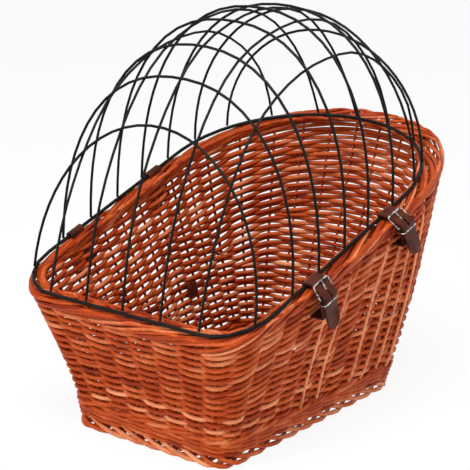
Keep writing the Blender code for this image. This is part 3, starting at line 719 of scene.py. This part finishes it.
def willowFinish():
    # Each rod's own tone, shifted by patches along it and fine streaks.
    material, tree, shader = newMaterial("varnishedWillow")
    coords = objectCoords(tree)
    mixed = addNode(tree, "ShaderNodeAttribute", attribute_name="tone").outputs["Fac"]
    patches = addNoise(tree, coords, willow["patches"])
    streaks = addNoise(tree, coords, willow["streaks"], 2.0)
    for noise, share in ((patches, willow["patchShare"]), (streaks, willow["streakShare"])):
        shift = addMath(tree, "MULTIPLY", addMath(tree, "SUBTRACT", noise, 0.5), share)
        mixed = addMath(tree, "ADD", mixed, shift)
    tree.links.new(addRamp(tree, mixed, willow["tones"]), shader.inputs["Base Color"])
    setRoughness(tree, shader, patches, willow["roughness"])
    shader.inputs["Specular IOR Level"].default_value = willow["specular"]
    setBump(tree, shader, addNoise(tree, coords, willow["grain"]), willow["bump"])
    return material


wire = {
    "tones": ((0.3, (0.0035, 0.0033, 0.003)), (0.75, (0.007, 0.0065, 0.006))), "cloud": 60.0,
    "roughness": (0.37, 0.14), "specular": 0.08, "grain": 500.0, "bump": (0.12, 0.0003),
}


def wireFinish():
    material, tree, shader = newMaterial("blackWire")
    coords = objectCoords(tree)
    cloud = addNoise(tree, coords, wire["cloud"])
    tree.links.new(addRamp(tree, cloud, wire["tones"]), shader.inputs["Base Color"])
    setRoughness(tree, shader, cloud, wire["roughness"])
    shader.inputs["Specular IOR Level"].default_value = wire["specular"]
    setBump(tree, shader, addNoise(tree, coords, wire["grain"], 2.0), wire["bump"])
    return material


leather = {
    "tones": ((0.3, (0.030, 0.007, 0.0035)), (0.7, (0.088, 0.019, 0.010))), "cloud": 90.0,
    "roughness": 0.42, "specular": 0.08, "grain": 900.0, "bump": (0.35, 0.0003),
}


def leatherFinish():
    material, tree, shader = newMaterial("darkLeather")
    coords = objectCoords(tree)
    cloud = addNoise(tree, coords, leather["cloud"])
    tree.links.new(addRamp(tree, cloud, leather["tones"]), shader.inputs["Base Color"])
    shader.inputs["Roughness"].default_value = leather["roughness"]
    shader.inputs["Specular IOR Level"].default_value = leather["specular"]
    grain = addNode(tree, "ShaderNodeTexVoronoi", Scale=leather["grain"])
    tree.links.new(coords, grain.inputs["Vector"])
    setBump(tree, shader, grain.outputs["Distance"], leather["bump"])
    return material


# Painted reflection: the plate's colour runs from dark to bright in small patches, standing in for dark
# reflections and glints.
nickel = {
    "tones": ((0.38, (0.10, 0.095, 0.09)), (0.60, (0.72, 0.69, 0.66))), "cloud": 300.0,
    "roughness": (0.20, 0.10),
}


def nickelFinish():
    material, tree, shader = newMaterial("nickelPlate")
    # The cloud paints dark reflections and bright glints into the base colour.
    cloud = addNoise(tree, objectCoords(tree), nickel["cloud"])
    tree.links.new(addRamp(tree, cloud, nickel["tones"]), shader.inputs["Base Color"])
    shader.inputs["Metallic"].default_value = 1.0
    setRoughness(tree, shader, cloud, nickel["roughness"])
    return material


willowSkin = willowFinish()
wireSkin = wireFinish()
leatherSkin = leatherFinish()
nickelSkin = nickelFinish()
print("finishes ready")


def dress(piece, material):
    piece.data.materials.clear()
    piece.data.materials.append(material)


sides = layRods("wickerSides", weaveRods(), 2)
dress(sides, willowSkin)
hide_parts("side_weave")
stakes = layRods("wickerStakes", stakeRods(), 1)
dress(stakes, willowSkin)
walingBand = layRods("wickerWaling", walingRods(), 2)
dress(walingBand, willowSkin)
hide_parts("lower_waling")
footBand = layRods("wickerFoot", footRods(), 2)
dress(footBand, willowSkin)
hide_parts("foot_border")
rimBand = layRods("wickerRim", rimRods(), 2)
dress(rimBand, willowSkin)
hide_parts("top_border")
baseMat = layRods("wickerMat", matRods(), 1)
dress(baseMat, willowSkin)
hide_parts("floor_mat")


# Straps, keepers and tab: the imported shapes. A strap gets a slack tail and a slit that its tongue swings
# through. What lies below the bar and outside the keeper's middle moves out by slack, and the outermost
# corners up and in.

closure = {
    "edge": 0.00045, "segments": 2, "weld": 0.000002,
    "flat": math.radians(1.5), "sharp": math.radians(55), "shade": math.radians(50),
    "slack": 0.0019, "below": 0.0035, "corner": 0.0052, "cornerIn": 0.0004, "cornerUp": 0.0008,
    "hook": 0.0021, "slitHalf": 0.0013, "reach": 0.012, "arc": (0.3, 1.3, 4),
}


def closurePlace(letter):
    # The bar that the tongue turns on, its line, and the ways up and out from the wall
    joint = next(one for one in frame["joints"] if one["name"] == f"tongue_{letter}_hinge")
    bar = Vector(joint["pos_m"])
    line = Vector(joint["axis"]).normalized()
    out = Vector((0.0, -math.copysign(1.0, line.x), 0.0))
    depths = [(vert.co - bar).dot(out) for vert in nodes[f"keeper_{letter}"].data.vertices]
    middle = (min(depths) + max(depths)) / 2
    return {"bar": bar, "line": line, "out": out, "up": out.cross(line), "middle": middle}


def tongueSlit(letter, place):
    # The slice of air that the tongue passes through, from lying on the strap to standing out
    corners = [vert.co - place["bar"] for vert in nodes[f"buckle_{letter}"].data.vertices]
    middle = sum(corners, Vector()) / len(corners)
    shift = middle.dot(place["line"])
    rise = middle - place["line"] * shift
    drift = shift / rise.length
    rise.normalize()
    away = place["line"].cross(rise)
    reach, half = closure["reach"], closure["slitHalf"]
    low = closure["hook"] - half
    high = closure["hook"] + half
    outline = [(0.0, 0.0), (0.0, low), (reach, low)]
    outline += [(reach * math.cos(turn), low + reach * math.sin(turn)) for turn in spread(*closure["arc"])]
    outline += [(-high, low + reach), (-high, 0.0)]
    bm = bmesh.new()
    ring = []
    for a, b in outline:
        across = place["line"] * (drift * max(a, b, 0.0) - half)
        ring.append(bm.verts.new(place["bar"] + rise * a + away * b + across))
    grown = bmesh.ops.extrude_face_region(bm, geom=[bm.faces.new(ring)])
    bmesh.ops.translate(bm, verts=[part for part in grown["geom"] if isinstance(part, bmesh.types.BMVert)],
                        vec=place["line"] * 2 * half)
    bmesh.ops.triangulate(bm, faces=bm.faces)
    bmesh.ops.recalc_face_normals(bm, faces=bm.faces)
    mesh = bpy.data.meshes.new("slit")
    bm.to_mesh(mesh)
    bm.free()
    return linked("slit", mesh)


def cutSlit(piece, slit):
    knife = piece.modifiers.new("slit", "BOOLEAN")
    knife.operation = "DIFFERENCE"
    knife.solver = "EXACT"
    knife.object = slit
    whole = piece.data
    piece.data = finalMesh(piece)
    piece.modifiers.clear()
    bpy.data.meshes.remove(whole)
    bpy.data.objects.remove(slit)


def slacken(bm, place):
    # The tail and the keeper's front wire stand a little away from the wall
    for vert in bm.verts:
        spot = vert.co - place["bar"]
        depth = spot.dot(place["out"])
        if spot.dot(place["up"]) > -closure["below"] or depth < place["middle"]:
            continue
        if depth > closure["corner"]:
            vert.co += place["up"] * closure["cornerUp"] - place["out"] * closure["cornerIn"]
        else:
            vert.co += place["out"] * closure["slack"]


def mergedCopy(node, name, place):
    piece = linked(name, nodes[node].data.copy())
    bm = bmesh.new()
    bm.from_mesh(piece.data)
    bmesh.ops.remove_doubles(bm, verts=bm.verts, dist=closure["weld"])
    if place:
        slacken(bm, place)
    bm.to_mesh(piece.data)
    bm.free()
    return piece


def roundEdges(bm):
    # On a strap the short edges round the slit hold the bevel at nearly nothing.
    sharp = [edge for edge in bm.edges
             if len(edge.link_faces) == 2 and edge.is_convex and edge.calc_face_angle() > closure["sharp"]]
    bmesh.ops.bevel(bm, geom=sharp, offset=closure["edge"], segments=closure["segments"], profile=0.5,
                    affect="EDGES", material=-1, clamp_overlap=True)


def softLeather(node, name, place=None, slit=None):
    piece = mergedCopy(node, name, place)
    if slit:
        cutSlit(piece, slit)
    bm = bmesh.new()
    bm.from_mesh(piece.data)
    bmesh.ops.remove_doubles(bm, verts=bm.verts, dist=closure["weld"])
    bmesh.ops.dissolve_limit(bm, angle_limit=closure["flat"], verts=bm.verts, edges=bm.edges)
    roundEdges(bm)
    bmesh.ops.triangulate(bm, faces=[face for face in bm.faces if len(face.verts) > 4])
    bm.to_mesh(piece.data)
    bm.free()
    piece.data.shade_smooth()
    piece.data.set_sharp_from_angle(angle=closure["shade"])
    dress(piece, leatherSkin)
    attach(piece, "basket")
    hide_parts(node)


def looseKeeper(node, name, place):
    piece = mergedCopy(node, name, place)
    piece.data.shade_smooth()
    dress(piece, nickelSkin)
    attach(piece, "basket")
    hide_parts(node)


for letter in "abcd":
    place = closurePlace(letter)
    softLeather(f"strap_{letter}", f"leatherStrap{letter.upper()}", place, tongueSlit(letter, place))
    looseKeeper(f"keeper_{letter}", f"wireKeeper{letter.upper()}", place)
softLeather("inner_tab", "leatherTab")
print("leather done")

for name, node in nodes.items():
    if name.startswith(("cage_ring", "hoop_", "rail_")):
        dress(node, wireSkin)
    elif name.startswith(("buckle_", "tongue_")):
        dress(node, nickelSkin)


# Floor, light and camera

studio = {
    "ambient": 0.42, "aim": (0.0, 0.0, 0.2),
    "floorSize": 6.0, "floorColour": (0.92, 0.92, 0.92, 1.0), "floorRough": 0.9, "floorGlow": 0.90,
    "lamps": {"topSoftbox": {"place": (-0.65, -0.32, 1.9), "size": 1.0, "power": 37.0},
              "leftSoftbox": {"place": (-1.9, 0.5, 0.9), "size": 0.8, "power": 20.0},
              "rightSoftbox": {"place": (0.3, -2.1, 1.0), "size": 0.8, "power": 13.0}},
}
white = (1.0, 1.0, 1.0, 1.0)


def mixShaders(tree, share, first, second, output):
    mix = addNode(tree, "ShaderNodeMixShader")
    tree.links.new(share, mix.inputs["Fac"])
    tree.links.new(first, mix.inputs[1])
    tree.links.new(second, mix.inputs[2])
    tree.links.new(mix.outputs["Shader"], tree.nodes[output].inputs["Surface"])


def addFloor():
    bm = bmesh.new()
    bmesh.ops.create_grid(bm, x_segments=1, y_segments=1, size=studio["floorSize"])
    mesh = bpy.data.meshes.new("studioFloor")
    bm.to_mesh(mesh)
    bm.free()
    floor = linked("studioFloor", mesh)
    material, tree, shader = newMaterial("paleFloor")
    shader.inputs["Base Color"].default_value = studio["floorColour"]
    shader.inputs["Roughness"].default_value = studio["floorRough"]
    glow = addNode(tree, "ShaderNodeEmission", Color=white, Strength=1.0)
    rays = addNode(tree, "ShaderNodeLightPath")
    seen = addMath(tree, "MAXIMUM", rays.outputs["Is Camera Ray"], rays.outputs["Is Glossy Ray"])
    share = addMath(tree, "MULTIPLY", seen, studio["floorGlow"])
    mixShaders(tree, share, shader.outputs["BSDF"], glow.outputs["Emission"], "Material Output")
    dress(floor, material)


def addWorld():
    world = bpy.data.worlds.new("studio")
    bpy.context.scene.world = world
    world.use_nodes = True
    tree = world.node_tree
    dim = tree.nodes["Background"]
    dim.inputs["Color"].default_value = white
    dim.inputs["Strength"].default_value = studio["ambient"]
    bright = addNode(tree, "ShaderNodeBackground", Color=white, Strength=1.0)
    rays = addNode(tree, "ShaderNodeLightPath")
    mirrored = addMath(tree, "MAXIMUM", rays.outputs["Is Glossy Ray"], rays.outputs["Is Transmission Ray"])
    seen = addMath(tree, "MAXIMUM", rays.outputs["Is Camera Ray"], mirrored)
    mixShaders(tree, seen, dim.outputs["Background"], bright.outputs["Background"], "World Output")


def addLamp(name, lamp):
    light = bpy.data.lights.new(name, "AREA")
    light.shape = "SQUARE"
    light.size = lamp["size"]
    light.energy = lamp["power"]
    box = linked(name, light)
    box.location = lamp["place"]
    box.rotation_euler = (Vector(studio["aim"]) - Vector(lamp["place"])).to_track_quat("-Z", "Y").to_euler()


view = {
    "place": (-1.50192, -1.12006, 0.75934), "azimuth": -52.4095, "elevation": 16.8901, "roll": 0.3386,
    "focalPixels": 1792.52, "framePixels": 470, "sensor": 36.0, "clip": (0.05, 50.0),
}


def addCamera():
    lens = bpy.data.cameras.new("camera")
    lens.sensor_width = view["sensor"]
    lens.lens = view["sensor"] * view["focalPixels"] / view["framePixels"]
    lens.clip_start, lens.clip_end = view["clip"]
    turn, tip, roll = (math.radians(view[key]) for key in ("azimuth", "elevation", "roll"))
    back = Vector((math.sin(turn) * math.cos(tip), -math.cos(turn) * math.cos(tip), math.sin(tip)))
    right = Vector((math.cos(turn), math.sin(turn), 0.0))
    up = back.cross(right)
    right, up = right * math.cos(roll) + up * math.sin(roll), up * math.cos(roll) - right * math.sin(roll)
    camera = linked("camera", lens)
    camera.matrix_world = Matrix.Translation(view["place"]) @ Matrix((right, up, back)).transposed().to_4x4()
    bpy.context.scene.camera = camera


addFloor()
addWorld()
for name, lamp in studio["lamps"].items():
    addLamp(name, lamp)
addCamera()
bpy.context.scene.view_settings.view_transform = "Standard"
print("studio ready")
